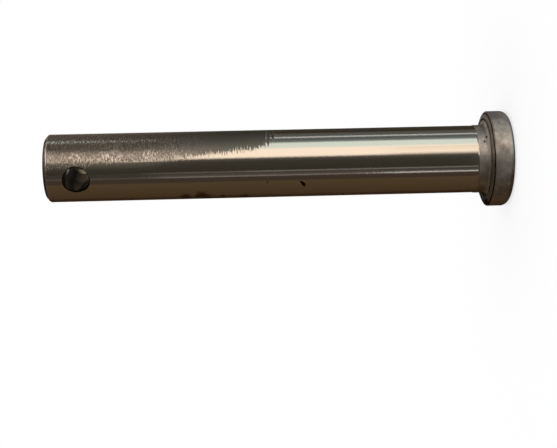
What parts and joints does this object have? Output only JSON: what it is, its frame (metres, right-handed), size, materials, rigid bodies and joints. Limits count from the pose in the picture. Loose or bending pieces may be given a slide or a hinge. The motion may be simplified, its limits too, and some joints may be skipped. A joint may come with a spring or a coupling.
{
  "type": "headed pin with cross hole",
  "caption": "Straight steel pin with a flat round head, a ground shank and a cross hole near its chamfered tip for a cotter.",
  "frame": {"origin": "centre of the head's flat end face, which the pin stands on", "axes": "+Z along the shank from the head to the tip, Y along the cross hole"},
  "size_m": [0.017, 0.017, 0.082],
  "materials": {
    "turned_steel": "bare carbon steel, shank ground bright and worn matt at the tip end, head satin as turned"
  },
  "bodies": {
    "root": {"headed_pin": "turned_steel"}
  },
  "joints": []
}
